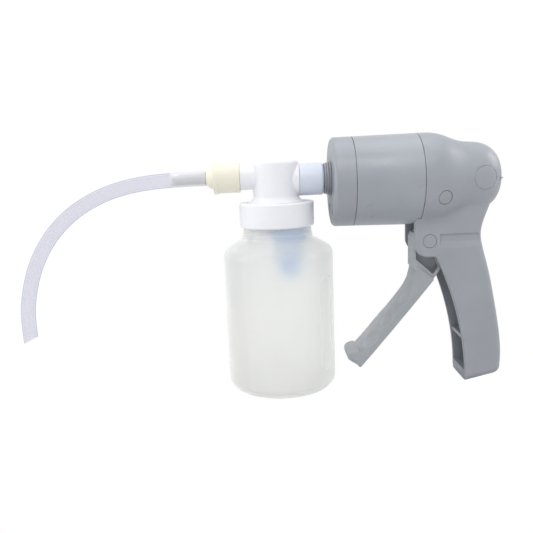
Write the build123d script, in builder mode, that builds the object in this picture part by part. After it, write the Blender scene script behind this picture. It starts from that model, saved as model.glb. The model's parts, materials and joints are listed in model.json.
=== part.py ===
from build123d import *
import os
from math import acos, atan2, cos, degrees, pi, radians, sin, sqrt, tan

# Hand-held medical suction pump: a trigger-driven piston pump, a snap-on fluid
# canister with an overflow float, and a short curved suction catheter.
# Units are millimetres. The origin is the centre of the canister's base, on the
# surface the pump stands on. +X runs along the pump barrel towards the handle,
# +Z is up.

os.makedirs("parts", exist_ok=True)

# ---------------------------------------------------------------- driving sizes
AXIS_Z = 134.8          # height of the barrel axis
OUTLET_Z = 137.4        # height of the suction nozzle and of the canister's outlet
CAP_R = 28.5            # outside of the front cap at its face
BARREL_R = 29.2         # outside of the barrel at the housing, after the draft
BORE_R = 25.6           # pump bore
REGISTER_R = 27.2       # stepped joint between cap, barrel and housing
CAP_FACE_X = 35.6
CAP_SEAM_X = 48.7
HOUSING_SEAM_X = 90.6
SEAM_R = CAP_R + (BARREL_R - CAP_R) * (CAP_SEAM_X - CAP_FACE_X) / (HOUSING_SEAM_X - CAP_FACE_X)
REGISTER_L = 4.0        # length of each stepped joint
SEAM_GAP = 0.45         # open groove at each seam
SEAM_DEPTH = 0.9

BOTTLE_R = 36.0
BOTTLE_WALL = 1.6
BASE_RISE = 3.0         # how far the middle of the bottle's base is pushed up
NECK_STEP_R = 22.4
NECK_R = 20.4
NECK_BORE_R = 19.0
NECK_TOP_Z = 118.6

COLLAR_R = 24.3
COLLAR_LOW_Z = 108.2
COLLAR_TOP_Z = 123.7
COLLAR_BORE_R = 21.9

LID_R = 14.85
LID_TOP_Z = 151.1
LID_FLANGE_R = 21.5
INLET_Z = 140.4
INLET_R = 8.4
SPOUT_X = -9.2
ADAPTER_FROM_X = -22.9
FLOAT_X = 7.5

SLEEVE_R = 10.3
SPIGOT_R = 8.0
SLEEVE_FROM_X = 15.3
SLEEVE_TO_X = 30.7

# gear train between the trigger and the piston rod
MODULE = 1.0
PRESSURE = radians(25)
SECTOR_TEETH = 46       # as if the sector were a whole wheel
SMALL_TEETH = 12
LARGE_TEETH = 17
BACKLASH = 0.14         # taken off each tooth's thickness
TRIGGER_PIN = (96.8, 95.8)
TRAIN_CENTRES = MODULE * (SECTOR_TEETH + SMALL_TEETH) / 2
TRAIN_LEAN = radians(12.4)
PINION_PIN = (
    TRIGGER_PIN[0] + TRAIN_CENTRES * sin(TRAIN_LEAN),
    TRIGGER_PIN[1] + TRAIN_CENTRES * cos(TRAIN_LEAN),
)
LARGE_R = MODULE * LARGE_TEETH / 2
SMALL_R = MODULE * SMALL_TEETH / 2
SECTOR_R = MODULE * SECTOR_TEETH / 2
RACK_Z = PINION_PIN[1] + LARGE_R
TRIGGER_SWING = 32.0    # degrees
PIN_R = 2.5
PIN_BORE_R = 2.55

HANDLE_HALF = 14.5      # half the width across the handle
CHANNEL_HALF = 11.9     # half the width of the channel inside it
TRIGGER_HALF = 11.2

TUBE_R = 4.7
TUBE_BORE_R = 3.6
# Centre line of the curved catheter, from the adapter to its bare end (X, Z).
CATHETER_ROUTE = [
    (-45.0, 140.4),
    (-68.0, 140.4),
    (-91.5, 138.4),
    (-113.0, 132.9),
    (-134.0, 122.0),
    (-151.0, 106.0),
    (-163.0, 86.0),
    (-169.4, 65.0),
    (-171.2, 50.0),
    (-170.7, 36.3),
]

SIDE = Plane.XZ         # sketches drawn on it read (X, Z)
BARREL_AXIS = Axis((0, 0, AXIS_Z), (1, 0, 0))


# ------------------------------------------------------------------- helpers
def post_x(radius, x_from, x_to, z=AXIS_Z, y=0.0, mode=Mode.ADD):
    """A round post or hole along X, added to the sub-part being built."""
    with BuildSketch(Plane.YZ.offset(x_from)) as outline:
        with Locations((y, z)):
            Circle(radius)
    extrude(outline.sketch, amount=x_to - x_from, mode=mode)


def post_z(radius, z_from, z_to, x=0.0, y=0.0, mode=Mode.ADD):
    """A round post or hole along Z."""
    with BuildSketch(Plane.XY.offset(z_from)) as outline:
        with Locations((x, y)):
            Circle(radius)
    extrude(outline.sketch, amount=z_to - z_from, mode=mode)


def post_y(radius, half, x, z, mode=Mode.ADD):
    """A round post or hole along Y, centred on the middle plane."""
    with BuildSketch(SIDE) as outline:
        with Locations((x, z)):
            Circle(radius)
    extrude(outline.sketch, amount=half, both=True, mode=mode)


def block(x_from, x_to, y_from, y_to, z_from, z_to, mode=Mode.ADD):
    """A plain rectangular block between two corners."""
    middle = ((x_from + x_to) / 2, (y_from + y_to) / 2, (z_from + z_to) / 2)
    with Locations(middle):
        Box(x_to - x_from, y_to - y_from, z_to - z_from, mode=mode)


def lathe_x(points, mode=Mode.ADD):
    """Turn a closed (X, radius) outline about the barrel axis."""
    with BuildSketch(SIDE) as outline:
        with BuildLine():
            Polyline(*[(x, AXIS_Z + r) for x, r in points], close=True)
        make_face()
    revolve(outline.sketch, axis=BARREL_AXIS, mode=mode)


def lathe_z(points, x=0.0, mode=Mode.ADD):
    """Turn a closed (radius, Z) outline about a vertical axis at x."""
    with BuildSketch(SIDE) as outline:
        with BuildLine():
            Polyline(*[(x + r, z) for r, z in points], close=True)
        make_face()
    revolve(outline.sketch, axis=Axis((x, 0, 0), (0, 0, 1)), mode=mode)


def involute(angle):
    return tan(angle) - angle


def half_tooth_angle(radius, teeth):
    """Half the angle one tooth fills at this radius."""
    pitch_r = MODULE * teeth / 2
    base_r = pitch_r * cos(PRESSURE)
    flank = acos(min(1.0, base_r / max(radius, base_r)))
    at_pitch = (pi * MODULE / 2 - BACKLASH) / (2 * pitch_r)
    return at_pitch + involute(PRESSURE) - involute(flank)


def gear_points(centre, teeth, first_angle, count):
    """Outline points of `count` teeth, the first one centred on first_angle."""
    pitch_r = MODULE * teeth / 2
    root_r = pitch_r - 1.25 * MODULE
    radii = [root_r, max(root_r + 0.1, pitch_r * cos(PRESSURE)), pitch_r, pitch_r + MODULE]
    points = []
    for index in range(count):
        middle = first_angle + index * 2 * pi / teeth
        rising = [(r, middle - half_tooth_angle(r, teeth)) for r in radii]
        falling = [(r, middle + half_tooth_angle(r, teeth)) for r in reversed(radii)]
        for r, angle in rising + falling:
            points.append((centre[0] + r * cos(angle), centre[1] + r * sin(angle)))
    return points


def save(sub_part, name):
    sub_part.label = name
    export_step(sub_part, f"parts/{name}.step")


# =============================================================== pump, fixed
# Front cap: a cup with the ribbed suction nozzle and two exhaust slots.
CAP_WALL = 2.5
CAP_CAVITY_R = 25.1
PLATE_X = 42.2          # front face of the valve plate
PLATE_T = 2.5
NOZZLE_BORE_R = 5.5
RIDGES = [(31.4, 9.9), (32.9, 10.4), (34.4, 11.0)]
RIDGE_W = 0.9

with BuildPart() as front_cap:
    lathe_x([(CAP_FACE_X, 0), (CAP_FACE_X, CAP_R), (CAP_SEAM_X, SEAM_R), (CAP_SEAM_X, 0)])
    fillet(front_cap.edges().filter_by(GeomType.CIRCLE).group_by(Axis.X)[0], radius=2.5)
    lathe_x([
        (CAP_FACE_X + CAP_WALL, 0),
        (CAP_FACE_X + CAP_WALL, CAP_CAVITY_R),
        (PLATE_X, CAP_CAVITY_R),
        (PLATE_X, REGISTER_R),
        (CAP_SEAM_X, REGISTER_R),
        (CAP_SEAM_X, 0),
    ], mode=Mode.SUBTRACT)
    post_x(SPIGOT_R, 21.8, CAP_FACE_X, z=OUTLET_Z)
    post_x(9.2, 31.4, CAP_FACE_X, z=OUTLET_Z)
    for ridge_x, ridge_r in RIDGES:
        post_x(ridge_r, ridge_x, ridge_x + RIDGE_W, z=OUTLET_Z)
    post_x(9.6, CAP_FACE_X, PLATE_X, z=OUTLET_Z)
    post_x(NOZZLE_BORE_R, 21.8, PLATE_X, z=OUTLET_Z, mode=Mode.SUBTRACT)
    chamfer(front_cap.edges().filter_by(GeomType.CIRCLE).group_by(Axis.X)[0].sort_by(SortBy.RADIUS)[-1],
            length=0.6)
    for slot_y in (-7.5, 7.5):
        block(CAP_FACE_X - 1, CAP_FACE_X + CAP_WALL + 1, slot_y - 2.2, slot_y + 2.2, 114.2, 120.8,
              mode=Mode.SUBTRACT)
save(front_cap.part, "front_cap")

# Valve plate between the cap and the barrel, with inlet and exhaust ports.
EXHAUST_Z = AXIS_Z - 16.5
with BuildPart() as valve_plate:
    post_x(REGISTER_R, PLATE_X, PLATE_X + PLATE_T)
    post_x(1.5, PLATE_X, PLATE_X + PLATE_T, z=OUTLET_Z, mode=Mode.SUBTRACT)
    post_x(1.3, PLATE_X, PLATE_X + PLATE_T, z=EXHAUST_Z, mode=Mode.SUBTRACT)
    with BuildSketch(Plane.YZ.offset(PLATE_X)) as ports:
        with Locations((0, OUTLET_Z)):
            with PolarLocations(3.7, 6):
                Circle(1.1)
        with Locations((0, EXHAUST_Z)):
            with PolarLocations(3.0, 6):
                Circle(0.9)
    extrude(ports.sketch, amount=PLATE_T, mode=Mode.SUBTRACT)
save(valve_plate.part, "valve_plate")

# Umbrella valves: a thin flap with a stem that snaps through the plate.
with BuildPart() as inlet_valve:
    post_x(6.4, PLATE_X + PLATE_T, PLATE_X + PLATE_T + 0.8, z=OUTLET_Z)
    post_x(1.5, PLATE_X - 2.0, PLATE_X + PLATE_T, z=OUTLET_Z)
    post_x(2.1, PLATE_X - 1.4, PLATE_X, z=OUTLET_Z)
save(inlet_valve.part, "inlet_valve")

with BuildPart() as exhaust_valve:
    post_x(5.0, PLATE_X - 0.7, PLATE_X, z=EXHAUST_Z)
    post_x(1.3, PLATE_X, PLATE_X + PLATE_T, z=EXHAUST_Z)
    post_x(1.8, PLATE_X + PLATE_T, PLATE_X + PLATE_T + 0.9, z=EXHAUST_Z)
save(exhaust_valve.part, "exhaust_valve")

# Barrel: the pump cylinder, notched low at the back for the trigger's gear.
PLATE_BACK_X = PLATE_X + PLATE_T
NOTCH_HALF = 8.9
NOTCH_FROM_X = 85.6
NOTCH_TOP_Z = 121.2
with BuildPart() as barrel:
    lathe_x([
        (PLATE_BACK_X, BORE_R),
        (PLATE_BACK_X, REGISTER_R),
        (CAP_SEAM_X, REGISTER_R),
        (CAP_SEAM_X, SEAM_R - SEAM_DEPTH),
        (CAP_SEAM_X + SEAM_GAP, SEAM_R - SEAM_DEPTH),
        (CAP_SEAM_X + SEAM_GAP, SEAM_R),
        (HOUSING_SEAM_X - SEAM_GAP, BARREL_R),
        (HOUSING_SEAM_X - SEAM_GAP, BARREL_R - SEAM_DEPTH),
        (HOUSING_SEAM_X, BARREL_R - SEAM_DEPTH),
        (HOUSING_SEAM_X, REGISTER_R),
        (HOUSING_SEAM_X + REGISTER_L, REGISTER_R),
        (HOUSING_SEAM_X + REGISTER_L, BORE_R),
    ])
    block(NOTCH_FROM_X, 96, -NOTCH_HALF, NOTCH_HALF, 100, NOTCH_TOP_Z, mode=Mode.SUBTRACT)
save(barrel.part, "barrel")

# O-ring in the corner between the valve plate and the barrel.
with BuildPart() as head_o_ring:
    lathe_x([
        (PLATE_BACK_X, BORE_R - 1.4),
        (PLATE_BACK_X, BORE_R),
        (PLATE_BACK_X + 1.0, BORE_R),
        (PLATE_BACK_X + 1.0, BORE_R - 1.0),
        (PLATE_BACK_X + 0.6, BORE_R - 1.4),
    ])
save(head_o_ring.part, "head_o_ring")

# Rod guide: the disc that carries the piston rod and backs the return spring.
GUIDE_X = 87.0
GUIDE_T = 3.0
ROD_R = 6.0
ROD_GAP = 0.07
with BuildPart() as rod_guide:
    post_x(BORE_R, GUIDE_X, GUIDE_X + GUIDE_T)
    post_x(ROD_R + ROD_GAP, GUIDE_X, GUIDE_X + GUIDE_T, mode=Mode.SUBTRACT)
    with BuildSketch(Plane.YZ.offset(GUIDE_X)) as vents:
        with Locations((0, AXIS_Z)):
            with PolarLocations(18.5, 5, start_angle=-30, angular_range=240, endpoint=True):
                Circle(3.0)
    extrude(vents.sketch, amount=GUIDE_T, mode=Mode.SUBTRACT)
    block(GUIDE_X - 1, GUIDE_X + 4, -NOTCH_HALF, NOTCH_HALF, 100, NOTCH_TOP_Z, mode=Mode.SUBTRACT)
save(rod_guide.part, "rod_guide")

# Rear housing: a turned dome and the pistol handle, one moulded shell.
DOME = [
    (HOUSING_SEAM_X, BARREL_R),
    (99.0, 29.1),
    (106.0, 27.7),
    (113.0, 24.9),
    (120.0, 22.9),
    (129.0, 22.0),
    (135.8, 19.5),
    (140.2, 15.4),
    (142.4, 10.6),
    (143.6, 5.2),
    (144.0, 0.0),
]
DOME_CENTRE_X = 126.0
DOME_FRONT_X = 80.0     # the dome is turned on past the seam, then cut back
SHELL_T = 2.4
BLEND_R = 6.0           # soft corner between dome and handle
HANDLE_FRONT = [(101.0, 85.3), (107.7, 70.1), (113.6, 52.5), (118.2, 33.0), (120.4, 17.0), (121.2, 0.0)]
HANDLE_BACK = [
    (144.9, 11.0),
    (145.1, 20.0),
    (143.3, 37.0),
    (139.5, 58.0),
    (135.3, 77.0),
    (131.6, 90.5),
    (130.2, 99.0),
    (131.9, 108.0),
    (135.2, 117.0),
    (137.6, 128.0),
]
WALL_BACK = 3.0
RIB_Z = 29.0
PIN_HEAD_R = 4.2
PIN_SEAT_R = 4.45
PINION_SEAT_Y = 21.5    # floor of the seats for the pinion pin's heads
BOSS_R = 6.4
PLUG_AT = (128.9, 135.0)
PLUG_R = 7.2
PLUG_HOLE_R = 7.35


def dome_sketch(inset):
    """Half outline of the dome, moved in by the shell's thickness."""
    reach = DOME[-1][0] - DOME_CENTRE_X
    curve = []
    for x, r in DOME:
        moved_x = x - inset * max(x - DOME_CENTRE_X, 0) / reach
        curve.append((moved_x, AXIS_Z + max(r - inset * min(r / reach, 1), 0)))
    with BuildSketch(SIDE) as outline:
        with BuildLine():
            Line((DOME_FRONT_X, curve[0][1]), curve[0])
            Spline(*curve, tangents=[(1, 0), (0, -1)])
            Polyline(curve[-1], (DOME_FRONT_X, AXIS_Z), (DOME_FRONT_X, curve[0][1]))
        make_face()
    return outline.sketch


with BuildPart() as pinion_bosses:
    post_y(BOSS_R, 30, *PINION_PIN)
    post_y(BOSS_R + 1, 15.5, *PINION_PIN, mode=Mode.SUBTRACT)
    revolve(dome_sketch(1.0), axis=BARREL_AXIS, mode=Mode.INTERSECT)

with BuildPart() as pump_housing:
    with BuildSketch(SIDE) as handle_side:
        with BuildLine():
            Spline(*HANDLE_FRONT)
            Line(HANDLE_FRONT[-1], (140.5, 4.6))
            ThreePointArc((140.5, 4.6), (143.6, 6.6), HANDLE_BACK[0])
            Spline(*HANDLE_BACK)
            Polyline(HANDLE_BACK[-1], (128, AXIS_Z), (87.0, AXIS_Z), (87.0, 94.5))
            RadiusArc((87.0, 94.5), (95.8, 85.3), -8.9)
            Line((95.8, 85.3), (101.0, 85.3))
        make_face()
    extrude(handle_side.sketch, amount=HANDLE_HALF, both=True)
    back_edges = pump_housing.edges().filter_by(
        lambda e: abs(abs(e.center().Y) - HANDLE_HALF) < 0.01 and e.center().X > 128.5)
    fillet(back_edges, radius=4.5)
    revolve(dome_sketch(0), axis=BARREL_AXIS)
    seam_edges = pump_housing.edges().filter_by(GeomType.BSPLINE).filter_by(
        lambda e: abs(e.center().Y) > 3 and 105 < e.center().Z < 128)
    fillet(seam_edges, radius=BLEND_R)
    # cut back to the barrel's seam
    post_x(BARREL_R, DOME_FRONT_X - 1, HOUSING_SEAM_X, mode=Mode.SUBTRACT)
    front_edges = pump_housing.edges().filter_by(
        lambda e: abs(abs(e.center().Y) - HANDLE_HALF) < 0.01 and e.center().X < 122 and e.center().Z < 104)
    chamfer(front_edges, length=0.9)
    # hollow of the dome, with the stepped seat for the barrel
    revolve(dome_sketch(SHELL_T), axis=BARREL_AXIS, mode=Mode.SUBTRACT)
    post_x(REGISTER_R, HOUSING_SEAM_X, HOUSING_SEAM_X + REGISTER_L, mode=Mode.SUBTRACT)
    # channel of the handle, open to the front and joined to the dome's hollow
    with BuildSketch(SIDE) as channel_side:
        with BuildLine():
            Spline(*[(x - WALL_BACK, z) for x, z in HANDLE_BACK])
            Polyline(
                (HANDLE_BACK[-1][0] - WALL_BACK, HANDLE_BACK[-1][1]),
                (84, HANDLE_BACK[-1][1]),
                (84, 80),
                (90, 7.4),
                (HANDLE_BACK[0][0] - WALL_BACK, 7.4),
                (HANDLE_BACK[0][0] - WALL_BACK, HANDLE_BACK[0][1]),
            )
        make_face()
    extrude(channel_side.sketch, amount=CHANNEL_HALF, both=True, mode=Mode.SUBTRACT)
    # cross rib low in the channel
    with BuildSketch(SIDE) as rib_side:
        with BuildLine():
            Polyline((119.8, RIB_Z), (142.5, RIB_Z + 3), (142.2, RIB_Z + 5.5), (119.4, RIB_Z + 2.4), close=True)
        make_face()
    extrude(rib_side.sketch, amount=CHANNEL_HALF + 1, both=True)
    # finger groove along both sides of the handle's waist
    for side in (-1, 1):
        with BuildSketch(Plane.YZ.offset(103.2)) as groove:
            with BuildLine():
                Polyline(
                    (side * (HANDLE_HALF + 1.0), 101.2),
                    (side * (HANDLE_HALF - 1.5), 99.2),
                    (side * (HANDLE_HALF - 1.5), 95.2),
                    (side * (HANDLE_HALF + 1.0), 88.4),
                    close=True,
                )
            make_face()
        extrude(groove.sketch, amount=30, mode=Mode.SUBTRACT)
    # bosses that carry the pinion pin
    add(pinion_bosses.part)
    # pin seats
    for pin_x, pin_z in (TRIGGER_PIN, PINION_PIN):
        post_y(PIN_R, 30, pin_x, pin_z, mode=Mode.SUBTRACT)
    for side in (-1, 1):
        with BuildSketch(Plane.XZ.offset(-side * (HANDLE_HALF - 1.0))) as trigger_seat:
            with Locations(TRIGGER_PIN):
                Circle(PIN_SEAT_R)
        extrude(trigger_seat.sketch, amount=-side * 8, mode=Mode.SUBTRACT)
        with BuildSketch(Plane.XZ.offset(-side * PINION_SEAT_Y)) as pinion_seat:
            with Locations(PINION_PIN):
                Circle(PIN_SEAT_R)
        extrude(pinion_seat.sketch, amount=-side * 8, mode=Mode.SUBTRACT)
    # moulding hole that the side plug closes, on the near side only
    with BuildSketch(Plane.XZ.offset(10)) as plug_hole:
        with Locations(PLUG_AT):
            Circle(PLUG_HOLE_R)
    extrude(plug_hole.sketch, amount=20, mode=Mode.SUBTRACT)
    # small moulding nub at the very back
    with BuildSketch(SIDE) as nub:
        with BuildLine():
            Polyline((142.6, 133.6), (142.6, 134.6), (144.9, 134.1), (144.9, 133.6), close=True)
        make_face()
    revolve(nub.sketch, axis=Axis((0, 0, 133.6), (1, 0, 0)))
save(pump_housing.part, "pump_housing")

# Side plug: a round piece of the same domed skin.
with BuildPart() as side_plug:
    revolve(dome_sketch(0.05), axis=BARREL_AXIS)
    revolve(dome_sketch(SHELL_T), axis=BARREL_AXIS, mode=Mode.SUBTRACT)
    with BuildSketch(Plane.XZ.offset(10)) as plug_outline:
        with Locations(PLUG_AT):
            Circle(PLUG_R)
    extrude(plug_outline.sketch, amount=20, mode=Mode.INTERSECT)
save(side_plug.part, "side_plug")

# Cross pins with flat round heads that sit in the housing's seats.
with BuildPart() as trigger_pin:
    post_y(PIN_R, HANDLE_HALF - 1.0, *TRIGGER_PIN)
    for side in (-1, 1):
        with BuildSketch(Plane.XZ.offset(-side * (HANDLE_HALF - 1.0))) as head:
            with Locations(TRIGGER_PIN):
                Circle(PIN_HEAD_R)
        extrude(head.sketch, amount=-side * 0.9)
save(trigger_pin.part, "trigger_pin")

# The pinion pin's heads are cut to the curve of the dome.
with BuildPart() as pinion_pin:
    post_y(PIN_HEAD_R, 30, *PINION_PIN)
    post_y(PIN_HEAD_R + 1, PINION_SEAT_Y, *PINION_PIN, mode=Mode.SUBTRACT)
    revolve(dome_sketch(0.2), axis=BARREL_AXIS, mode=Mode.INTERSECT)
    post_y(PIN_R, PINION_SEAT_Y, *PINION_PIN)
save(pinion_pin.part, "pinion_pin")

# ================================================================== piston
PISTON_X = 46.7
PISTON_L = 10.0
CROWN_T = 3.6
SEAL_X = 51.2
SEAL_W = 3.0
GROOVE_R = 23.0         # floor of the seal's groove
ROD_FROM_X = PISTON_X + CROWN_T
ROD_TO_X = 110.5
with BuildPart() as piston:
    post_x(BORE_R - 0.35, PISTON_X, PISTON_X + PISTON_L)
    lathe_x([
        (ROD_FROM_X, 8.0),
        (ROD_FROM_X, 19.8),
        (PISTON_X + PISTON_L, 19.8),
        (PISTON_X + PISTON_L, 8.0),
    ], mode=Mode.SUBTRACT)
    post_x(ROD_R, ROD_FROM_X, PISTON_X + PISTON_L, mode=Mode.SUBTRACT)
    lathe_x([
        (SEAL_X, GROOVE_R),
        (SEAL_X, BORE_R),
        (SEAL_X + SEAL_W, BORE_R),
        (SEAL_X + SEAL_W, GROOVE_R),
    ], mode=Mode.SUBTRACT)
    post_x(1.9, PISTON_X, ROD_FROM_X, mode=Mode.SUBTRACT)
    lathe_x([(PISTON_X, 0), (PISTON_X, 4.0), (PISTON_X + 2.1, 1.9), (PISTON_X + 2.1, 0)], mode=Mode.SUBTRACT)
save(piston.part, "piston")

with BuildPart() as piston_seal:
    lathe_x([
        (SEAL_X, GROOVE_R),
        (SEAL_X, BORE_R - 0.4),
        (SEAL_X + 0.7, BORE_R - 0.06),
        (SEAL_X + SEAL_W - 0.7, BORE_R - 0.06),
        (SEAL_X + SEAL_W, BORE_R - 0.4),
        (SEAL_X + SEAL_W, GROOVE_R),
    ])
save(piston_seal.part, "piston_seal")

# Piston rod: round bar with a flat underside cut as a rack.
RACK_TEETH_FROM = -8
RACK_TEETH_TO = 2
RACK_PITCH = pi * MODULE
RACK_TIP_Z = RACK_Z - MODULE
RACK_ROOT_Z = RACK_Z + 1.25 * MODULE
RACK_FROM_X = PINION_PIN[0] + (RACK_TEETH_FROM - 0.5) * RACK_PITCH
with BuildPart() as piston_rod:
    post_x(ROD_R, ROD_FROM_X, ROD_TO_X)
    block(ROD_FROM_X + 7, ROD_TO_X + 1, -ROD_R, ROD_R, AXIS_Z - ROD_R - 1, RACK_TIP_Z, mode=Mode.SUBTRACT)
    # gaps between the rack's teeth, one centred over the pinion
    half_top = RACK_PITCH / 4 + BACKLASH / 2 - 1.25 * MODULE * tan(PRESSURE)
    half_low = RACK_PITCH / 4 + BACKLASH / 2 + 1.05 * MODULE * tan(PRESSURE)
    for index in range(RACK_TEETH_FROM, RACK_TEETH_TO + 1):
        gap_x = PINION_PIN[0] + index * RACK_PITCH
        with BuildSketch(SIDE) as gap:
            with BuildLine():
                Polyline(
                    (gap_x - half_top, RACK_ROOT_Z),
                    (gap_x + half_top, RACK_ROOT_Z),
                    (gap_x + half_low, RACK_TIP_Z - 0.05),
                    (gap_x - half_low, RACK_TIP_Z - 0.05),
                    close=True,
                )
            make_face()
        extrude(gap.sketch, amount=ROD_R, both=True, mode=Mode.SUBTRACT)
    post_x(1.9, ROD_FROM_X, ROD_FROM_X + 12, mode=Mode.SUBTRACT)
save(piston_rod.part, "piston_rod")

with BuildPart() as piston_screw:
    lathe_x([
        (PISTON_X + 0.1, 0),
        (PISTON_X + 0.1, 3.9),
        (PISTON_X + 2.1, 1.9),
        (ROD_FROM_X + 11, 1.9),
        (ROD_FROM_X + 11.8, 1.1),
        (ROD_FROM_X + 11.8, 0),
    ])
    for turn in (0, 90):
        with BuildSketch(Plane.YZ.offset(PISTON_X)) as recess:
            with Locations((0, AXIS_Z)):
                Rectangle(3.6, 0.8, rotation=turn)
        extrude(recess.sketch, amount=1.3, mode=Mode.SUBTRACT)
save(piston_screw.part, "piston_screw")

# Return spring: round wire between the piston's crown and the rod guide.
SPRING_WIRE_R = 0.75
SPRING_R = 10.6
SPRING_TURNS = 7
SPRING_FROM_X = ROD_FROM_X + SPRING_WIRE_R + 0.05
SPRING_TO_X = GUIDE_X - SPRING_WIRE_R - 0.05
with BuildPart() as return_spring:
    spring_pitch = (SPRING_TO_X - SPRING_FROM_X) / SPRING_TURNS
    with BuildLine() as coil:
        Helix(
            pitch=spring_pitch,
            height=SPRING_TO_X - SPRING_FROM_X,
            radius=SPRING_R,
            center=(SPRING_FROM_X, 0, AXIS_Z),
            direction=(1, 0, 0),
        )
    with BuildSketch(Plane(origin=coil.line @ 0, z_dir=coil.line % 0)):
        Circle(SPRING_WIRE_R)
    sweep(path=coil.line, is_frenet=True)
save(return_spring.part, "return_spring")

# =========================================================== pinion and trigger
TOWARDS_TRIGGER = atan2(TRIGGER_PIN[1] - PINION_PIN[1], TRIGGER_PIN[0] - PINION_PIN[0])
TOWARDS_PINION = TOWARDS_TRIGGER + pi
SMALL_FROM_Y = 3.7
SMALL_TO_Y = 8.4
with BuildPart() as pinion_gear:
    with BuildSketch(SIDE) as large:
        with BuildLine():
            Polyline(*gear_points(PINION_PIN, LARGE_TEETH, pi / 2, LARGE_TEETH), close=True)
        make_face()
    extrude(large.sketch, amount=SMALL_FROM_Y - 0.4, both=True)
    with BuildSketch(SIDE) as small:
        with BuildLine():
            Polyline(*gear_points(PINION_PIN, SMALL_TEETH, TOWARDS_TRIGGER, SMALL_TEETH), close=True)
        make_face()
    extrude(small.sketch, amount=SMALL_TO_Y, both=True)
    post_y(PIN_BORE_R, 10, *PINION_PIN, mode=Mode.SUBTRACT)
save(pinion_gear.part, "pinion_gear")

# Trigger: a finger grip shell, a narrower stem and two toothed sectors on top.
SECTOR_SPACE = 2 * pi / SECTOR_TEETH
SECTOR_COUNT = 6
SECTOR_FIRST = TOWARDS_PINION - (SECTOR_COUNT - 0.5) * SECTOR_SPACE
STEM_HALF = 9.3
STEM_ROUND = 1.8
GRIP_FRONT = [(88.3, 79.6), (87.6, 75.0), (84.7, 66.2), (79.5, 58.6), (74.1, 51.8), (66.2, 42.8), (58.3, 33.4), (50.1, 24.2)]
GRIP_TOE = [(46.9, 23.7), (44.1, 21.4), (43.8, 18.4), (46.5, 15.4)]
GRIP_HEEL = (51.8, 11.2)
GRIP_BACK = (72.0, 35.0)
GRIP_BACK_TOP = (100.6, 69.9)
GRIP_WALL = 2.2
ROUND_FLAT = 3.0        # half width of the flat down the middle of the grip's front
ROUND_DEPTH = 7.0       # how far back the front's rounding reaches
SCOOPS = [(53.6, 35.7), (64.6, 49.2), (75.4, 62.7)]
SCOOP_Y = 17.5
SCOOP_R = 12.4
HOLLOW_TOP = (97.0, 70.4)
HOLLOW_FRONT = [(89.6, 75.6), (86.9, 67.4), (81.7, 58.6), (68.5, 42.0), (55.4, 26.8), (51.0, 21.8), (49.6, 18.8)]
PLATE_HALF_IN = 4.1
PLATE_HALF_OUT = 8.2
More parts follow.
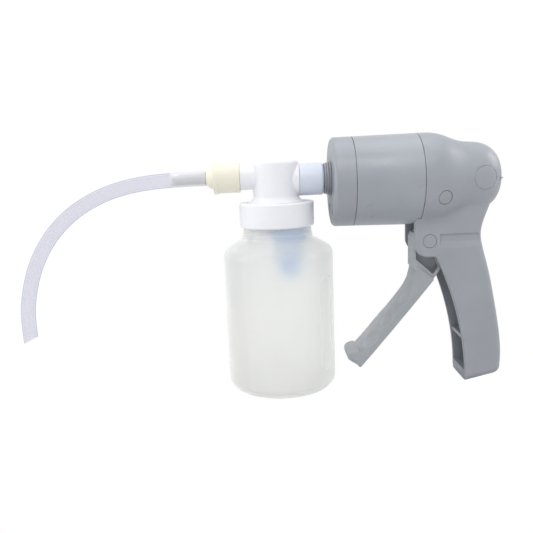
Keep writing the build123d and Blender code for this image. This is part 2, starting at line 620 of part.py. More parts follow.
with BuildPart() as trigger:
    with BuildSketch(SIDE) as grip_side:
        with BuildLine():
            Spline(*GRIP_FRONT)
            Spline(GRIP_FRONT[-1], *GRIP_TOE, GRIP_HEEL)
            ThreePointArc(GRIP_HEEL, GRIP_BACK, GRIP_BACK_TOP)
            Polyline(GRIP_BACK_TOP, (90.2, 78.1), GRIP_FRONT[0])
        make_face()
    extrude(grip_side.sketch, amount=TRIGGER_HALF, both=True)
    front_edges = trigger.edges().filter_by(
        lambda e: abs(abs(e.center().Y) - TRIGGER_HALF) < 0.01
        and e.length > 15
        and (e.center().X - GRIP_HEEL[0]) * 0.78 - (e.center().Z - GRIP_HEEL[1]) * 0.63 < -2)
    fillet(front_edges, radius=2.8)
    # rounded front, swept from the stem down to the toe
    with BuildLine(SIDE) as crest:
        Spline(*GRIP_FRONT)
    with BuildSketch(Plane(origin=crest.line @ 0, x_dir=(0, 1, 0), z_dir=crest.line % 0)) as corners:
        for side in (-1, 1):
            with BuildLine():
                Polyline(
                    (side * ROUND_FLAT, 0),
                    (side * ROUND_FLAT, -2),
                    (side * (TRIGGER_HALF + 2), -2),
                    (side * (TRIGGER_HALF + 2), ROUND_DEPTH),
                    (side * TRIGGER_HALF, ROUND_DEPTH),
                )
                Spline((side * TRIGGER_HALF, ROUND_DEPTH), (side * ROUND_FLAT, 0), tangents=[(0, -1), (-side, 0)])
            make_face()
    sweep(corners.sketch, path=crest.line, mode=Mode.SUBTRACT)
    # shallow finger scoops in both front corners
    for scoop_x, scoop_z in SCOOPS:
        for side in (-1, 1):
            with Locations((scoop_x, side * SCOOP_Y, scoop_z)):
                Sphere(SCOOP_R, mode=Mode.SUBTRACT)
    # hollow of the grip, open towards the handle, narrower just behind the front
    for half, setback in ((TRIGGER_HALF - GRIP_WALL, 3.6), (5.2, 0.0)):
        front_line = [(x + 0.85 * setback, z - 0.6 * setback) for x, z in HOLLOW_FRONT]
        with BuildSketch(SIDE) as hollow_side:
            with BuildLine():
                Polyline(HOLLOW_TOP, *front_line, (52.4, 15.8), (58.0, 10.0), (102.0, 64.0), close=True)
            make_face()
        extrude(hollow_side.sketch, amount=half, both=True, mode=Mode.SUBTRACT)
    # stem between the cheeks of the handle
    with BuildSketch(SIDE) as stem_side:
        with BuildLine():
            Polyline(
                (87.8, 77.6),
                (87.8, 96.6),
                (89.2, 99.8),
                (91.8, 101.4),
                (100.6, 101.4),
                (103.6, 97.0),
                (103.4, 83.0),
                (105.8, 77.4),
                (100.6, 69.9),
                close=True,
            )
        make_face()
    extrude(stem_side.sketch, amount=STEM_HALF, both=True)
    stem_edges = trigger.edges().filter_by(
        lambda e: abs(abs(e.center().Y) - STEM_HALF) < 0.01 and abs(e.center().X - 87.8) < 0.01)
    fillet(stem_edges, radius=STEM_ROUND)
    post_y(5.8, CHANNEL_HALF - 0.35, *TRIGGER_PIN)
    # side pockets that lighten the stem
    for side in (-1, 1):
        with BuildSketch(Plane.XZ.offset(-side * (STEM_HALF + 0.1))) as pocket:
            with BuildLine():
                Polyline((89.2, 83.4), (89.2, 92.0), (94.4, 88.6), (101.6, 88.8), (101.8, 82.4), (104.0, 77.9), (100.5, 73.0), close=True)
            make_face()
            fillet(pocket.vertices(), radius=0.8)
        extrude(pocket.sketch, amount=side * 6.0, mode=Mode.SUBTRACT)
    # toothed sectors, one each side of the large wheel
    with BuildSketch(SIDE) as sector_side:
        with BuildLine():
            Polyline(*gear_points(TRIGGER_PIN, SECTOR_TEETH, SECTOR_FIRST, SECTOR_COUNT), TRIGGER_PIN, close=True)
        make_face()
    extrude(sector_side.sketch, amount=PLATE_HALF_OUT, both=True)
    with BuildSketch(SIDE) as sector_gap:
        with BuildLine():
            Polyline((84, 102.2), (84, 122), (124, 122), (124, 102.2), close=True)
        make_face()
    extrude(sector_gap.sketch, amount=PLATE_HALF_IN, both=True, mode=Mode.SUBTRACT)
    post_y(PIN_BORE_R, 20, *TRIGGER_PIN, mode=Mode.SUBTRACT)
save(trigger.part, "trigger")

# ============================================================== outlet sleeve
with BuildPart() as outlet_sleeve:
    post_x(SLEEVE_R, SLEEVE_FROM_X, SLEEVE_TO_X, z=OUTLET_Z)
    chamfer(outlet_sleeve.edges().filter_by(GeomType.CIRCLE).group_by(Axis.X)[-1], length=1.0)
    post_x(SPIGOT_R + 0.05, SLEEVE_FROM_X, SLEEVE_TO_X, z=OUTLET_Z, mode=Mode.SUBTRACT)
save(outlet_sleeve.part, "outlet_sleeve")

# ============================================================== canister lid
CAGE_TOP_Z = 109.0
FLANGE_LOW_Z = 119.6
FLANGE_TOP_Z = 121.9
DECK_Z = 117.4
with BuildPart() as canister_lid:
    with BuildSketch(SIDE) as lid_half:
        with BuildLine():
            Line((0, DECK_Z), (0, LID_TOP_Z))
            Line((0, LID_TOP_Z), (LID_R - 3.2, LID_TOP_Z))
            RadiusArc((LID_R - 3.2, LID_TOP_Z), (LID_R, LID_TOP_Z - 3.2), 3.2)
            Line((LID_R, LID_TOP_Z - 3.2), (LID_R, 127.6))
            RadiusArc((LID_R, 127.6), (18.9, 123.9), -4.4)
            Polyline(
                (18.9, 123.9),
                (18.9, FLANGE_TOP_Z),
                (LID_FLANGE_R, FLANGE_TOP_Z),
                (LID_FLANGE_R, FLANGE_LOW_Z),
                (18.4, FLANGE_LOW_Z),
                (18.4, 112.0),
                (16.9, 112.0),
                (16.9, DECK_Z),
                (0, DECK_Z),
            )
        make_face()
    revolve(lid_half.sketch, axis=Axis.Z)
    # inlet port, with the taper that the catheter adapter is pushed on
    post_x(INLET_R, ADAPTER_FROM_X + 0.1, -8, z=INLET_Z)
    post_x(7.0, -34.0, -20, z=INLET_Z)
    # outlet stub and the spigot inside the sleeve
    post_x(SLEEVE_R, 8, 15.1, z=OUTLET_Z)
    post_x(SPIGOT_R, 8, 21.4, z=OUTLET_Z)
    # inlet spout and the stub that the float cage clips on
    post_z(5.6, 100.0, DECK_Z + 1, x=SPOUT_X)
    post_z(9.2, 106.6, DECK_Z + 1, x=FLOAT_X)
    # passages
    post_x(4.2, -34.0, SPOUT_X, z=INLET_Z, mode=Mode.SUBTRACT)
    post_z(4.2, 100.0, INLET_Z, x=SPOUT_X, mode=Mode.SUBTRACT)
    post_x(NOZZLE_BORE_R, FLOAT_X, 21.4, z=OUTLET_Z, mode=Mode.SUBTRACT)
    post_z(5.0, 106.6, OUTLET_Z + 1, x=FLOAT_X, mode=Mode.SUBTRACT)
save(canister_lid.part, "canister_lid")

with BuildPart() as lid_gasket:
    lathe_z([(NECK_BORE_R, NECK_TOP_Z + 0.1), (21.3, NECK_TOP_Z + 0.1), (21.3, FLANGE_LOW_Z), (NECK_BORE_R, FLANGE_LOW_Z)])
save(lid_gasket.part, "lid_gasket")

# Float cage: a slotted cup that holds the overflow ball under its seat.
CAGE_WALL = 1.4
with BuildPart() as float_cage:
    with BuildSketch(SIDE) as cage_half:
        with BuildLine():
            Line((FLOAT_X, 73.0), (FLOAT_X, 74.4))
            RadiusArc((FLOAT_X, 74.4), (FLOAT_X + 6.2, 80.6), -6.2)
            Polyline(
                (FLOAT_X + 6.2, 80.6),
                (FLOAT_X + 9.2, 97.0),
                (FLOAT_X + 9.2, CAGE_TOP_Z),
                (FLOAT_X + 10.6, CAGE_TOP_Z),
                (FLOAT_X + 10.6, 97.0),
                (FLOAT_X + 7.6, 80.6),
            )
            RadiusArc((FLOAT_X + 7.6, 80.6), (FLOAT_X, 73.0), 7.6)
        make_face()
    revolve(cage_half.sketch, axis=Axis((FLOAT_X, 0, 0), (0, 0, 1)))
    with Locations((FLOAT_X, 0, 91)):
        for turn in (45, 135):
            Box(30, 4.0, 12, rotation=(0, 0, turn), mode=Mode.SUBTRACT)
save(float_cage.part, "float_cage")

SEAT_Z = 104.2
SEAT_T = 2.2
BALL_R = 5.4
SEAT_BORE_R = 3.6
with BuildPart() as valve_seat:
    post_z(9.2, SEAT_Z, SEAT_Z + SEAT_T, x=FLOAT_X)
    post_z(SEAT_BORE_R, SEAT_Z, SEAT_Z + SEAT_T, x=FLOAT_X, mode=Mode.SUBTRACT)
save(valve_seat.part, "valve_seat")

BALL_Z = 74.4 + BALL_R + 0.15
with BuildPart() as float_ball:
    with Locations((FLOAT_X, 0, BALL_Z)):
        Sphere(BALL_R)
save(float_ball.part, "float_ball")

# ============================================================ collar and bottle
with BuildPart() as collar:
    post_z(COLLAR_R, COLLAR_LOW_Z, COLLAR_TOP_Z)
    fillet(collar.edges().filter_by(GeomType.CIRCLE), radius=1.0)
    post_z(COLLAR_BORE_R, COLLAR_LOW_Z, FLANGE_TOP_Z + 0.2, mode=Mode.SUBTRACT)
    post_z(19.2, FLANGE_TOP_Z, COLLAR_TOP_Z, mode=Mode.SUBTRACT)
save(collar.part, "collar")

with BuildPart() as bottle:
    with BuildSketch(SIDE) as bottle_half:
        with BuildLine():
            wall_r = BOTTLE_R - BOTTLE_WALL
            Polyline((0, BASE_RISE), (22.5, BASE_RISE), (27.0, 0), (BOTTLE_R - 6.5, 0))
            RadiusArc((BOTTLE_R - 6.5, 0), (BOTTLE_R, 6.5), -6.5)
            Line((BOTTLE_R, 6.5), (BOTTLE_R, 88.6))
            ThreePointArc((BOTTLE_R, 88.6), (35.3, 92.0), (33.2, 94.6))
            Line((33.2, 94.6), (24.6, 99.5))
            ThreePointArc((24.6, 99.5), (23.5, 100.3), (23.0, 101.4))
            Polyline(
                (23.0, 101.4),
                (23.0, 103.3),
                (NECK_STEP_R, 103.9),
                (NECK_STEP_R, COLLAR_LOW_Z - 0.5),
                (NECK_R, COLLAR_LOW_Z + 0.8),
                (NECK_R, NECK_TOP_Z),
                (NECK_BORE_R, NECK_TOP_Z),
                (NECK_BORE_R, COLLAR_LOW_Z - 0.6),
                (NECK_STEP_R - BOTTLE_WALL, 106.0),
                (NECK_STEP_R - BOTTLE_WALL, 99.8),
                (23.7, 98.0),
                (32.2, 93.1),
            )
            ThreePointArc((32.2, 93.1), (33.9, 91.1), (wall_r, 88.0))
            Line((wall_r, 88.0), (wall_r, 6.6))
            RadiusArc((wall_r, 6.6), (BOTTLE_R - 6.5, BOTTLE_WALL), 5.0)
            Polyline(
                (BOTTLE_R - 6.5, BOTTLE_WALL),
                (27.8, BOTTLE_WALL),
                (23.3, BASE_RISE + BOTTLE_WALL),
                (0, BASE_RISE + BOTTLE_WALL),
                (0, BASE_RISE),
            )
        make_face()
    revolve(bottle_half.sketch, axis=Axis.Z)
    # thread lands on the neck, drawn as plain rings
    for land_z in (111.2, 115.0):
        lathe_z([
            (NECK_R - 0.3, land_z - 0.3),
            (21.45, land_z + 0.6),
            (21.45, land_z + 1.2),
            (NECK_R - 0.3, land_z + 2.1),
        ])
save(bottle.part, "bottle")

# ============================================================ suction catheter
ADAPTER_TIP_X = -44.8
with BuildPart() as catheter_adapter:
    with BuildSketch(SIDE) as adapter_half:
        with BuildLine():
            Polyline(
                (ADAPTER_FROM_X, INLET_Z + 7.06),
                (ADAPTER_FROM_X, INLET_Z + 9.4),
                (ADAPTER_FROM_X - 0.5, INLET_Z + 9.9),
                (-36.9, INLET_Z + 9.9),
                (-37.3, INLET_Z + 10.5),
                (-39.7, INLET_Z + 10.5),
                (-39.9, INLET_Z + 10.3),
                (-39.9, INLET_Z + 7.4),
            )
            ThreePointArc((-39.9, INLET_Z + 7.4), (-42.6, INLET_Z + 6.3), (ADAPTER_TIP_X, INLET_Z + 4.4))
            Polyline(
                (ADAPTER_TIP_X, INLET_Z + 4.4),
                (ADAPTER_TIP_X, INLET_Z + 3.6),
                (-38.0, INLET_Z + 3.6),
                (-35.2, INLET_Z + 5.6),
                (-35.2, INLET_Z + 7.06),
                (ADAPTER_FROM_X, INLET_Z + 7.06),
            )
        make_face()
    revolve(adapter_half.sketch, axis=Axis((0, 0, INLET_Z), (1, 0, 0)))
save(catheter_adapter.part, "catheter_adapter")

# Nipple: the short hard tube that carries the soft one.
with BuildPart() as catheter_nipple:
    post_x(TUBE_BORE_R - 0.15, -66.0, -38.0, z=INLET_Z)
    post_x(2.4, -66.0, -38.0, z=INLET_Z, mode=Mode.SUBTRACT)
save(catheter_nipple.part, "catheter_nipple")


def corner_radii(points):
    """One bend radius for each inner corner, as large as its two runs allow."""
    radii = []
    for before, corner, after in zip(points, points[1:], points[2:]):
        run_in = Vector(corner[0] - before[0], corner[1] - before[1])
        run_out = Vector(after[0] - corner[0], after[1] - corner[1])
        half_turn = radians(run_in.get_angle(run_out)) / 2
        radii.append(0.45 * min(run_in.length, run_out.length) / tan(half_turn))
    return radii


# Soft clear tube with an open bore and a slanted bare end.
radii = corner_radii(CATHETER_ROUTE)
print("catheter radii", [round(r, 1) for r in radii])
with BuildPart() as catheter_tube:
    with BuildLine(SIDE):
        centre_line = FilletPolyline(*CATHETER_ROUTE, radius=radii)
    with BuildSketch(Plane(origin=centre_line @ 0, z_dir=centre_line % 0)):
        Circle(TUBE_R)
        Circle(TUBE_BORE_R, mode=Mode.SUBTRACT)
    sweep(path=centre_line)
tube_length = centre_line.length
tube_area = pi * (TUBE_R ** 2 - TUBE_BORE_R ** 2)
print("catheter length", round(tube_length, 1), "volume", round(catheter_tube.part.volume, 1),
      "section x length", round(tube_area * tube_length, 1))
save(catheter_tube.part, "catheter_tube")
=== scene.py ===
"""Looks of the hand-held suction pump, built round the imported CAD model."""

import json
from math import cos, pi, radians, sin

import bmesh
import bpy
from mathutils import Matrix, Vector


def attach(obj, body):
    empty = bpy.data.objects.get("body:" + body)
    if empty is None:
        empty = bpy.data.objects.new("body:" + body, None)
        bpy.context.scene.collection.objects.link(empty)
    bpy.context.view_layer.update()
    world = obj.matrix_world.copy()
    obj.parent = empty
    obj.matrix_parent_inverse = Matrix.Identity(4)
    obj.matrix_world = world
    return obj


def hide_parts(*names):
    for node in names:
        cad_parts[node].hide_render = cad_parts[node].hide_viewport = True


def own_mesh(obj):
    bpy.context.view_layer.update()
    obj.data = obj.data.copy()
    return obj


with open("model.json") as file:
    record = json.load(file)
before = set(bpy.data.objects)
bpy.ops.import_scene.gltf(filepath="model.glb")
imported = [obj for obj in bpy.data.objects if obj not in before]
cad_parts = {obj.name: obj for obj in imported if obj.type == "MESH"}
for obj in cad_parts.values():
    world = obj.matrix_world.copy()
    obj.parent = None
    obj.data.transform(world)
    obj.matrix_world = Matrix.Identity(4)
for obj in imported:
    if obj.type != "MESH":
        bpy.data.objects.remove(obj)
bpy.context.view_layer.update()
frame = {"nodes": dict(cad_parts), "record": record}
NODES = frame["nodes"]
MM = 0.001

# ------------------------------------------------------------------ camera
CAMERA_AT = (-4.4, -393.1, 154.4)   # mm
CAMERA_TURN = -0.54                 # degrees
CAMERA_DOWN = 10.6
CAMERA_ROLL = -2.32
CAMERA_LENS = 40.5


def make_camera():
    turn, down, roll = radians(CAMERA_TURN), radians(CAMERA_DOWN), radians(CAMERA_ROLL)
    forward = Vector((sin(turn) * cos(down), cos(turn) * cos(down), -sin(down)))
    level = Vector((cos(turn), -sin(turn), 0.0))
    up = level.cross(forward)
    right = level * cos(roll) + up * sin(roll)
    top = level * -sin(roll) + up * cos(roll)
    camera = bpy.data.objects.new("camera", bpy.data.cameras.new("camera"))
    bpy.context.scene.collection.objects.link(camera)
    axes = Matrix((right, top, -forward)).transposed().to_4x4()
    axes.translation = Vector(CAMERA_AT) * MM
    camera.matrix_world = axes
    camera.data.lens = CAMERA_LENS
    camera.data.sensor_width = 36.0
    camera.data.clip_start = 0.01
    bpy.context.scene.camera = camera


make_camera()


# --------------------------------------------------------------- materials
class Nodes:
    """A short way to add and link shader nodes in one material."""

    def __init__(self, name):
        self.material = bpy.data.materials.new(name)
        self.material.use_nodes = True
        self.tree = self.material.node_tree
        self.shader = self.tree.nodes["Principled BSDF"]
        self.output = self.tree.nodes["Material Output"]
        self.place = self.add("ShaderNodeTexCoord").outputs["Object"]

    def add(self, kind, **settings):
        node = self.tree.nodes.new(kind)
        for key, value in settings.items():
            setattr(node, key, value)
        return node

    def link(self, source, target):
        self.tree.links.new(source, target)

    def noise(self, scale, detail=2.0, stretch=(1, 1, 1)):
        """Noise over the object's own coordinates, drawn out along an axis if asked."""
        squeeze = self.add("ShaderNodeMapping")
        squeeze.inputs["Scale"].default_value = stretch
        self.link(self.place, squeeze.inputs["Vector"])
        noise = self.add("ShaderNodeTexNoise")
        noise.inputs["Scale"].default_value = scale
        noise.inputs["Detail"].default_value = detail
        self.link(squeeze.outputs["Vector"], noise.inputs["Vector"])
        return noise.outputs["Fac"]

    def edge_on(self):
        """How far the surface is turned away from the eye: 0 faces it, 1 is seen edge-on."""
        weight = self.add("ShaderNodeLayerWeight")
        weight.inputs["Blend"].default_value = 0.5
        return weight.outputs["Facing"]

    def spread(self, source, low, high, from_low=0.0, from_high=1.0):
        """The source, carried from one range to another."""
        node = self.add("ShaderNodeMapRange")
        self.link(source, node.inputs["Value"])
        node.inputs["From Min"].default_value = from_low
        node.inputs["From Max"].default_value = from_high
        node.inputs["To Min"].default_value = low
        node.inputs["To Max"].default_value = high
        return node.outputs["Result"]

    def math(self, operation, first, second):
        node = self.add("ShaderNodeMath", operation=operation)
        for slot, value in enumerate((first, second)):
            if isinstance(value, (int, float)):
                node.inputs[slot].default_value = value
            else:
                self.link(value, node.inputs[slot])
        return node.outputs["Value"]

    def mix_colour(self, factor, first, second):
        node = self.add("ShaderNodeMix", data_type="RGBA")
        self.link(factor, node.inputs["Factor"])
        for name, value in (("A", first), ("B", second)):
            socket = [s for s in node.inputs if s.name == name and s.type == "RGBA"][0]
            if isinstance(value, tuple):
                socket.default_value = (*value, 1)
            else:
                self.link(value, socket)
        return [s for s in node.outputs if s.type == "RGBA"][0]

    def bump(self, height, strength, distance, normal=None):
        node = self.add("ShaderNodeBump")
        node.inputs["Strength"].default_value = strength
        node.inputs["Distance"].default_value = distance
        self.link(height, node.inputs["Height"])
        if normal is not None:
            self.link(normal, node.inputs["Normal"])
        return node.outputs["Normal"]

    def soft_edges(self, radius, square):
        """Normals that round off every sharp edge, and a mask of where they do.

        The mask is full where the rounded and the flat normal's dot product falls to square.
        """
        bevel = self.add("ShaderNodeBevel", samples=6)
        bevel.inputs["Radius"].default_value = radius
        flat = self.add("ShaderNodeNewGeometry")
        dot = self.add("ShaderNodeVectorMath", operation="DOT_PRODUCT")
        self.link(bevel.outputs["Normal"], dot.inputs[0])
        self.link(flat.outputs["Normal"], dot.inputs[1])
        mask = self.spread(dot.outputs["Value"], 1.0, 0.0, from_low=square)
        return bevel.outputs["Normal"], mask


def lighter(colour, amount):
    """The colour made lighter, or darker by a negative amount."""
    return tuple(min(1.0, c + amount) for c in colour)


def plastic(name, colour, rough=0.4, vary=0.02, grain=1400.0, bump=0.12, edge=0.35, edge_highlight=0.06,
            square=0.75, **extra):
    """Moulded plastic: slow colour drift, fine grain, smudged gloss and a painted highlight along its
    edges.

    edge is the edges' rounding in mm, edge_highlight how much paler the painted highlight makes the edges,
    and extra any other shader input.
    """
    n = Nodes(name)
    drift = n.noise(28.0, detail=4.0)
    smudge = n.noise(60.0, detail=5.0, stretch=(1.0, 1.0, 2.2))
    normal, edges = n.soft_edges(edge * MM, square)
    patches = n.spread(drift, 0.0, 1.0, from_low=0.3, from_high=0.7)
    body = n.mix_colour(patches, lighter(colour, -vary), lighter(colour, vary))
    highlight_breakup = n.spread(n.noise(220.0, detail=3.0), 0.25, 1.0, from_low=0.35, from_high=0.65)
    # Painted highlight: the colour turns paler along sharp edges, where they would catch the light, broken
    # up in patches.
    painted_edge_light = n.math("MULTIPLY", edges, highlight_breakup)
    n.link(n.mix_colour(painted_edge_light, body, lighter(colour, edge_highlight)), n.shader.inputs["Base Color"])
    gloss = n.spread(smudge, rough - 0.07, rough + 0.09, from_low=0.3, from_high=0.7)
    n.link(gloss, n.shader.inputs["Roughness"])
    soft = n.bump(n.noise(90.0), strength=0.06, distance=0.4 * MM, normal=normal)
    fine = n.bump(n.noise(grain), strength=bump, distance=0.06 * MM, normal=soft)
    n.link(fine, n.shader.inputs["Normal"])
    n.shader.inputs["IOR"].default_value = 1.5
    for key, value in extra.items():
        n.shader.inputs[key.replace("_", " ")].default_value = value
    return n.material


def metal(name, colour, rough):
    """Drawn or turned steel with fine lines along its length."""
    n = Nodes(name)
    lines = n.noise(500.0, detail=3.0, stretch=(0.15, 1.0, 1.0))
    body = n.mix_colour(lines, lighter(colour, -0.08), lighter(colour, 0.06))
    n.link(body, n.shader.inputs["Base Color"])
    n.link(n.spread(lines, rough - 0.08, rough + 0.12), n.shader.inputs["Roughness"])
    n.link(n.bump(lines, strength=0.1, distance=0.03 * MM), n.shader.inputs["Normal"])
    n.shader.inputs["Metallic"].default_value = 1.0
    return n.material


def mix_shaders(n, share, first, second):
    """Two shaders mixed, with the given share of the second."""
    mix = n.add("ShaderNodeMixShader")
    if isinstance(share, float):
        mix.inputs[0].default_value = share
    else:
        n.link(share, mix.inputs[0])
    n.link(first, mix.inputs[1])
    n.link(second, mix.inputs[2])
    return mix.outputs["Shader"]


SPOUT_END_X = -68.0     # mm, how far the spout inside the tube reaches
SPOUT_END_FADE = 0.3    # mm, half the width of the change from matte to clear
OUTER_WALL = "outer_wall"   # mesh attribute: 1 on the tube's outer wall, 0 on its bore


def clear_tube(name, tint, edge_tint, body, matte):
    """Soft clear PVC: clear in the middle, blue-grey at its outline, matte where the spout stretches it."""
    n = Nodes(name)
    split = n.add("ShaderNodeSeparateXYZ")
    n.link(n.place, split.inputs["Vector"])
    grip = n.spread(split.outputs["X"], 0.0, 1.0, from_low=(SPOUT_END_X - SPOUT_END_FADE) * MM,
                    from_high=(SPOUT_END_X + SPOUT_END_FADE) * MM)
    outer = n.add("ShaderNodeAttribute", attribute_name=OUTER_WALL)
    rim = n.math("MULTIPLY", n.math("POWER", n.edge_on(), 2.6), outer.outputs["Fac"])
    drift = n.noise(70.0, detail=3.0, stretch=(1.0, 1.0, 0.5))
    soft = n.mix_colour(drift, lighter(body, -0.03), lighter(body, 0.03))
    n.link(n.mix_colour(grip, soft, matte), n.shader.inputs["Base Color"])
    n.link(n.spread(drift, 0.28, 0.40), n.shader.inputs["Roughness"])
    n.shader.inputs["IOR"].default_value = 1.4
    share = n.math("MAXIMUM", n.spread(rim, 0.10, 0.30), n.math("MULTIPLY", grip, 0.72))
    side = n.add("ShaderNodeNewGeometry")
    near_side = n.math("SUBTRACT", 1.0, side.outputs["Backfacing"])
    clear = n.add("ShaderNodeBsdfTransparent")
    n.link(n.mix_colour(rim, tint, edge_tint), clear.inputs["Color"])
    solid = n.math("MULTIPLY", share, near_side)
    mixed = mix_shaders(n, solid, clear.outputs["BSDF"], n.shader.outputs["BSDF"])
    n.link(mixed, n.output.inputs["Surface"])
    return n.material


def milky_bottle(name):
    """Blown milky polyethylene: a pale milky wall with a painted glow of its own and a blurred view of what
    is inside.

    The wall lets less through where it is seen edge-on, so the bottle's outline stays firm.
    """
    n = Nodes(name)
    drift = n.noise(18.0, detail=3.0)
    gloss = n.spread(n.noise(45.0, detail=4.0), 0.30, 0.46, from_low=0.3, from_high=0.7)
    n.link(gloss, n.shader.inputs["Roughness"])
    ripple = n.bump(n.noise(26.0, stretch=(1.0, 1.0, 0.4)), strength=0.25, distance=0.5 * MM)
    grain = n.bump(n.noise(700.0), strength=0.08, distance=0.06 * MM, normal=ripple)
    body = n.mix_colour(drift, (0.72, 0.725, 0.715), (0.75, 0.755, 0.745))
    n.link(body, n.shader.inputs["Base Color"])
    n.link(grain, n.shader.inputs["Normal"])
    n.shader.inputs["IOR"].default_value = 1.15
    # Painted light: the wall glows faintly of its own, which lifts its milky sides.
    n.shader.inputs["Emission Color"].default_value = (1.0, 1.0, 0.985, 1)
    n.shader.inputs["Emission Strength"].default_value = 0.36
    glow = n.add("ShaderNodeBsdfTranslucent")
    glow.inputs["Color"].default_value = (0.84, 0.845, 0.835, 1)
    haze_and_glow = mix_shaders(n, 0.45, n.shader.outputs["BSDF"], glow.outputs["BSDF"])
    clear = n.add("ShaderNodeBsdfTransparent")
    clear.inputs["Color"].default_value = (0.99, 0.99, 0.985, 1)
    blurred = n.add("ShaderNodeBsdfRefraction")
    blurred.inputs["Color"].default_value = (0.99, 0.99, 0.985, 1)
    blurred.inputs["Roughness"].default_value = 0.72
    blurred.inputs["IOR"].default_value = 1.17
    blur = n.spread(n.edge_on(), 0.92, 0.0, from_low=0.25, from_high=0.85)
    through = mix_shaders(n, blur, clear.outputs["BSDF"], blurred.outputs["BSDF"])
    milk = n.spread(n.math("POWER", n.edge_on(), 2.5), 0.26, 0.78)
    n.link(mix_shaders(n, milk, through, haze_and_glow), n.output.inputs["Surface"])
    return n.material


MATERIALS = {
    "housing_grey": plastic("housing_grey", (0.32, 0.337, 0.37), rough=0.38, edge=0.7, edge_highlight=0.2,
                            square=0.9),
    "barrel_grey": plastic("barrel_grey", (0.33, 0.35, 0.388), rough=0.34),
    "trigger_grey": plastic("trigger_grey", (0.355, 0.375, 0.40), rough=0.40, edge=0.7, edge_highlight=0.2,
                            square=0.93),
    "pin_grey": plastic("pin_grey", (0.31, 0.33, 0.355), rough=0.42, edge_highlight=0.16),
    "inner_plastic": plastic("inner_plastic", (0.7, 0.7, 0.66), rough=0.45),
    "gear_plastic": plastic("gear_plastic", (0.8, 0.78, 0.68), rough=0.45),
    "silicone": plastic("silicone", (0.6, 0.64, 0.68), rough=0.55),
    "black_rubber": plastic("black_rubber", (0.02, 0.02, 0.02), rough=0.6, vary=0.008, edge_highlight=0.01),
    "spring_steel": metal("spring_steel", (0.5, 0.5, 0.52), 0.28),
    "screw_steel": metal("screw_steel", (0.55, 0.55, 0.57), 0.3),
    "sleeve_white": plastic("sleeve_white", (0.72, 0.73, 0.82), rough=0.35, vary=0.01,
                            Subsurface_Weight=0.1),
    "lid_white": plastic("lid_white", (0.85, 0.855, 0.885), rough=0.30, vary=0.008, edge_highlight=0.02,
                         Specular_IOR_Level=0.2),
    "float_blue": plastic("float_blue", (0.29, 0.45, 0.76), rough=0.3),
    "float_ball_white": plastic("float_ball_white", (0.85, 0.85, 0.85), rough=0.3),
    "bottle_clear": milky_bottle("bottle_clear"),
    "adapter_cream": plastic("adapter_cream", (0.85, 0.815, 0.69), rough=0.42, vary=0.012, edge_highlight=0.03,
                             Specular_IOR_Level=0.25),
    "nipple_clear": plastic("nipple_clear", (0.78, 0.775, 0.80), rough=0.5),
    "tube_clear": clear_tube("tube_clear", (0.932, 0.930, 0.955), (0.40, 0.46, 0.64), (0.72, 0.71, 0.79),
                             (0.76, 0.755, 0.775)),
}

for row in frame["record"]["subparts"]:
    node = NODES[row["node"]]
    node.data.materials.clear()
    node.data.materials.append(MATERIALS[row["material_slot"]])


def add_mesh(name, work):
    """Make an object of the work, which is a bmesh, and put it in the scene."""
    mesh = bpy.data.meshes.new(name)
    work.to_mesh(mesh)
    work.free()
    thing = bpy.data.objects.new(name, mesh)
    bpy.context.scene.collection.objects.link(thing)
    return thing


# ------------------------------------------------------------ catheter tube
# The soft tube's centre line (X, Z), the adapter's end first, as in part.py.
CATHETER_ROUTE = [
    (-45.0, 140.4),
    (-68.0, 140.4),
    (-91.5, 138.4),
    (-113.0, 132.9),
    (-134.0, 122.0),
    (-151.0, 106.0),
    (-163.0, 86.0),
    (-169.4, 65.0),
    (-171.2, 50.0),
    (-170.7, 36.3),
]
TUBE_R = 4.7
TUBE_BORE_R = 3.6
TUBE_SIDES = 40
END_SLANT = radians(24.0)   # the bare end is cut at a slant
SLANT_RINGS = 6             # over which the rings lean into the cut


def smooth_line(points, per_span=10):
    """Points along the smooth curve that the route's points steer."""
    curve = bpy.data.curves.new("route", "CURVE")
    curve.dimensions = "3D"
    curve.resolution_u = per_span
    spline = curve.splines.new("NURBS")
    spline.points.add(len(points) - 1)
    for point, (x, z) in zip(spline.points, points):
        point.co = (x * MM, 0.0, z * MM, 1.0)
    spline.order_u = 3
    spline.use_endpoint_u = True
    holder = bpy.data.objects.new("route", curve)
    mesh = bpy.data.meshes.new_from_object(holder)
    line = [vertex.co.copy() for vertex in mesh.vertices]
    bpy.data.objects.remove(holder)
    bpy.data.meshes.remove(mesh)
    return line


def ring(work, centre, along, radius, slant=0.0):
    """One ring of the tube's wall, square to the line unless it is slanted."""
    across = Vector((0, 1, 0))
    outward = across.cross(along).normalized()
    ring_points = []
    for step in range(TUBE_SIDES):
        turn = 2 * pi * step / TUBE_SIDES
        lift = radius * sin(turn)
        shift = along * (lift * slant)
        ring_points.append(work.verts.new(centre + across * radius * cos(turn) + outward * lift + shift))
    return ring_points


def join(work, first, second):
    """Close the wall between two rings."""
    for step in range(TUBE_SIDES):
        after = (step + 1) % TUBE_SIDES
        work.faces.new((first[step], first[after], second[after], second[step]))


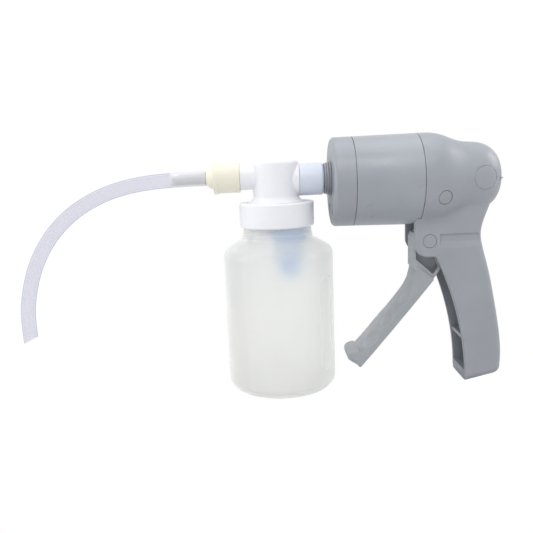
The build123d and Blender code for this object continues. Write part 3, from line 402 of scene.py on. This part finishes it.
def make_tube(line):
    """An open tube with a real wall, cut at a slant at its bare end."""
    work = bmesh.new()
    walls = []
    for radius in (TUBE_R * MM, TUBE_BORE_R * MM):
        rings = []
        for index, centre in enumerate(line):
            before = line[max(index - 1, 0)]
            after = line[min(index + 1, len(line) - 1)]
            along = (after - before).normalized()
            left = len(line) - 1 - index
            slant = sin(END_SLANT) * max(0.0, 1.0 - left / SLANT_RINGS)
            rings.append(ring(work, centre, along, radius, slant))
        walls.append(rings)
    for outer_ring, next_ring in zip(walls[0], walls[0][1:]):
        join(work, outer_ring, next_ring)
    for inner_ring, next_ring in zip(walls[1], walls[1][1:]):
        join(work, next_ring, inner_ring)
    join(work, walls[1][0], walls[0][0])
    join(work, walls[0][-1], walls[1][-1])
    bmesh.ops.recalc_face_normals(work, faces=work.faces[:])
    for face in work.faces:
        face.smooth = True
    for rings in walls:
        for end in (rings[0], rings[-1]):
            for first, second in zip(end, end[1:] + end[:1]):
                work.edges.get((first, second)).smooth = False
    thing = add_mesh("catheter_soft_tube", work)
    marks = thing.data.attributes.new(OUTER_WALL, "FLOAT", "POINT")
    outer_points = TUBE_SIDES * len(line)       # the outer wall's points come first
    for index in range(outer_points):
        marks.data[index].value = 1.0
    return thing


route_line = smooth_line(CATHETER_ROUTE)
soft_tube = make_tube(route_line)
soft_tube.data.materials.append(MATERIALS["tube_clear"])
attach(soft_tube, "catheter")
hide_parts("catheter_tube")


# ------------------------------------------------------- panel on the bottle
# The raised outline of an oblong panel, to the right of the bottle's front.
BOTTLE_R = 36.0
PANEL_ANGLE = radians(-35.0)
PANEL_HALF_WIDTH = 6.6
PANEL_HALF_HEIGHT = 31.0
PANEL_MIDDLE_Z = 46.5
PANEL_CORNER = 5.0
CORNER_STEPS = 8
RIB_R = 0.4
RIB_SIDES = 8


def panel_outline():
    """Points round the panel as (turn round the bottle, height), corner by corner."""
    points = []
    for corner, (side, end) in enumerate(((1, 1), (-1, 1), (-1, -1), (1, -1))):
        for step in range(CORNER_STEPS + 1):
            turn = pi / 2 * (corner + step / CORNER_STEPS)
            across = side * (PANEL_HALF_WIDTH - PANEL_CORNER) + PANEL_CORNER * cos(turn)
            height = end * (PANEL_HALF_HEIGHT - PANEL_CORNER) + PANEL_CORNER * sin(turn)
            points.append((PANEL_ANGLE + across / BOTTLE_R, PANEL_MIDDLE_Z + height))
    return points


def make_panel_rib():
    """A thin round rib laid along the panel's outline, half sunk in the bottle's wall."""
    work = bmesh.new()
    outline = panel_outline()
    centres = [Vector((BOTTLE_R * cos(turn), BOTTLE_R * sin(turn), z)) * MM for turn, z in outline]
    rings = []
    for index, (centre, (turn, _)) in enumerate(zip(centres, outline)):
        along = (centres[(index + 1) % len(centres)] - centres[index - 1]).normalized()
        outward = Vector((cos(turn), sin(turn), 0.0))
        across = along.cross(outward)
        rings.append([
            work.verts.new(centre + (outward * cos(lean) + across * sin(lean)) * RIB_R * MM)
            for lean in (2 * pi * side / RIB_SIDES for side in range(RIB_SIDES))
        ])
    for first, second in zip(rings, rings[1:] + rings[:1]):
        for side in range(RIB_SIDES):
            after = (side + 1) % RIB_SIDES
            work.faces.new((first[side], first[after], second[after], second[side]))
    bmesh.ops.recalc_face_normals(work, faces=work.faces[:])
    for face in work.faces:
        face.smooth = True
    return add_mesh("bottle_panel_rib", work)


panel_rib = make_panel_rib()
panel_rib.data.materials.append(MATERIALS["bottle_clear"])
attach(panel_rib, "bottle")


# The return spring as an object of its own, with its own copy of the mesh, carried with the pump.
spring = bpy.data.objects.new("return_spring_coil", NODES["return_spring"].data.copy())
bpy.context.scene.collection.objects.link(spring)
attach(spring, "pump")
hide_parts("return_spring")
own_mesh(spring)

NUB_ROOT = Vector((139.0, -15.8, 134.2)) * MM
NUB_TIP = Vector((142.2, -13.0, 134.2)) * MM
NUB_R = (1.3, 0.4)          # mm, at its root and at its tip
NUB_SIDES = 20


def make_nub():
    """The small pointed moulding nub on the near side of the dome's back."""
    work = bmesh.new()
    along = NUB_TIP - NUB_ROOT
    bmesh.ops.create_cone(work, cap_ends=True, segments=NUB_SIDES, radius1=NUB_R[0] * MM,
                          radius2=NUB_R[1] * MM, depth=along.length)
    turn = along.to_track_quat("Z", "Y").to_matrix().to_4x4()
    place = Matrix.Translation((NUB_ROOT + NUB_TIP) / 2) @ turn
    bmesh.ops.transform(work, matrix=place, verts=work.verts[:])
    return add_mesh("dome_nub", work)


nub = make_nub()
nub.data.materials.append(MATERIALS["housing_grey"])
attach(nub, "pump")


# ------------------------------------------------------------- floor, light
FLOOR_HALF = 8.0            # m
FLOOR_DROP = 0.3            # mm, just clear of the bottle's base


def make_floor():
    """Pale floor under the pump. It throws light back up and isn't seen itself."""
    corners = [(x * FLOOR_HALF, y * FLOOR_HALF, 0) for x, y in ((-1, -1), (1, -1), (1, 1), (-1, 1))]
    mesh = bpy.data.meshes.new("floor")
    mesh.from_pydata(corners, [], [(0, 1, 2, 3)])
    floor = bpy.data.objects.new("floor", mesh)
    floor.location = (0, 0, -FLOOR_DROP * MM)
    bpy.context.scene.collection.objects.link(floor)
    floor.data.materials.append(plastic("floor_paint", (0.72, 0.72, 0.72), rough=0.8, vary=0.01))
    floor.visible_camera = False


# name, place (m), size (m), power (W); all of them point at the middle of the pump
LAMPS = (
    ("top_light", (0.0, 0.15, 1.3), (1.2, 0.9), 5.4),
    ("front_light", (-0.05, -0.8, 1.05), (0.8, 0.4), 4.9),
    ("left_light", (-1.25, 0.0, 0.35), (0.6, 0.6), 4.5),
    ("right_light", (1.1, 0.1, 0.75), (0.6, 0.6), 4.0),
)
MIDDLE = Vector((-0.02, 0.0, 0.09))
WORLD_LIGHT = 0.62


def make_lamp(name, at, size, power):
    """A white rectangular lamp."""
    light = bpy.data.lights.new(name, "AREA")
    light.shape = "RECTANGLE"
    light.size = size[0]
    light.size_y = size[1]
    light.energy = power
    thing = bpy.data.objects.new(name, light)
    thing.location = at
    direction = MIDDLE - Vector(at)
    thing.rotation_euler = direction.to_track_quat("-Z", "Y").to_euler()
    bpy.context.scene.collection.objects.link(thing)


def make_world():
    """White studio: plain white to the eye and in reflections, a softer white as a light."""
    world = bpy.data.worlds.new("soft_studio")
    world.use_nodes = True
    tree = world.node_tree
    seen = tree.nodes.new("ShaderNodeBackground")
    seen.inputs["Color"].default_value = (1, 1, 1, 1)
    seen.inputs["Strength"].default_value = 1.0
    light = tree.nodes["Background"]
    light.inputs["Color"].default_value = (0.97, 0.985, 1, 1)
    light.inputs["Strength"].default_value = WORLD_LIGHT
    path = tree.nodes.new("ShaderNodeLightPath")
    soft_only = tree.nodes.new("ShaderNodeMath")
    soft_only.operation = "SUBTRACT"
    soft_only.inputs[0].default_value = 1.0
    tree.links.new(path.outputs["Is Diffuse Ray"], soft_only.inputs[1])
    mix = tree.nodes.new("ShaderNodeMixShader")
    tree.links.new(soft_only.outputs["Value"], mix.inputs[0])
    tree.links.new(light.outputs[0], mix.inputs[1])
    tree.links.new(seen.outputs[0], mix.inputs[2])
    tree.links.new(mix.outputs[0], tree.nodes["World Output"].inputs["Surface"])
    bpy.context.scene.world = world


make_floor()
for lamp in LAMPS:
    make_lamp(*lamp)
make_world()
bpy.context.scene.view_settings.view_transform = "Standard"
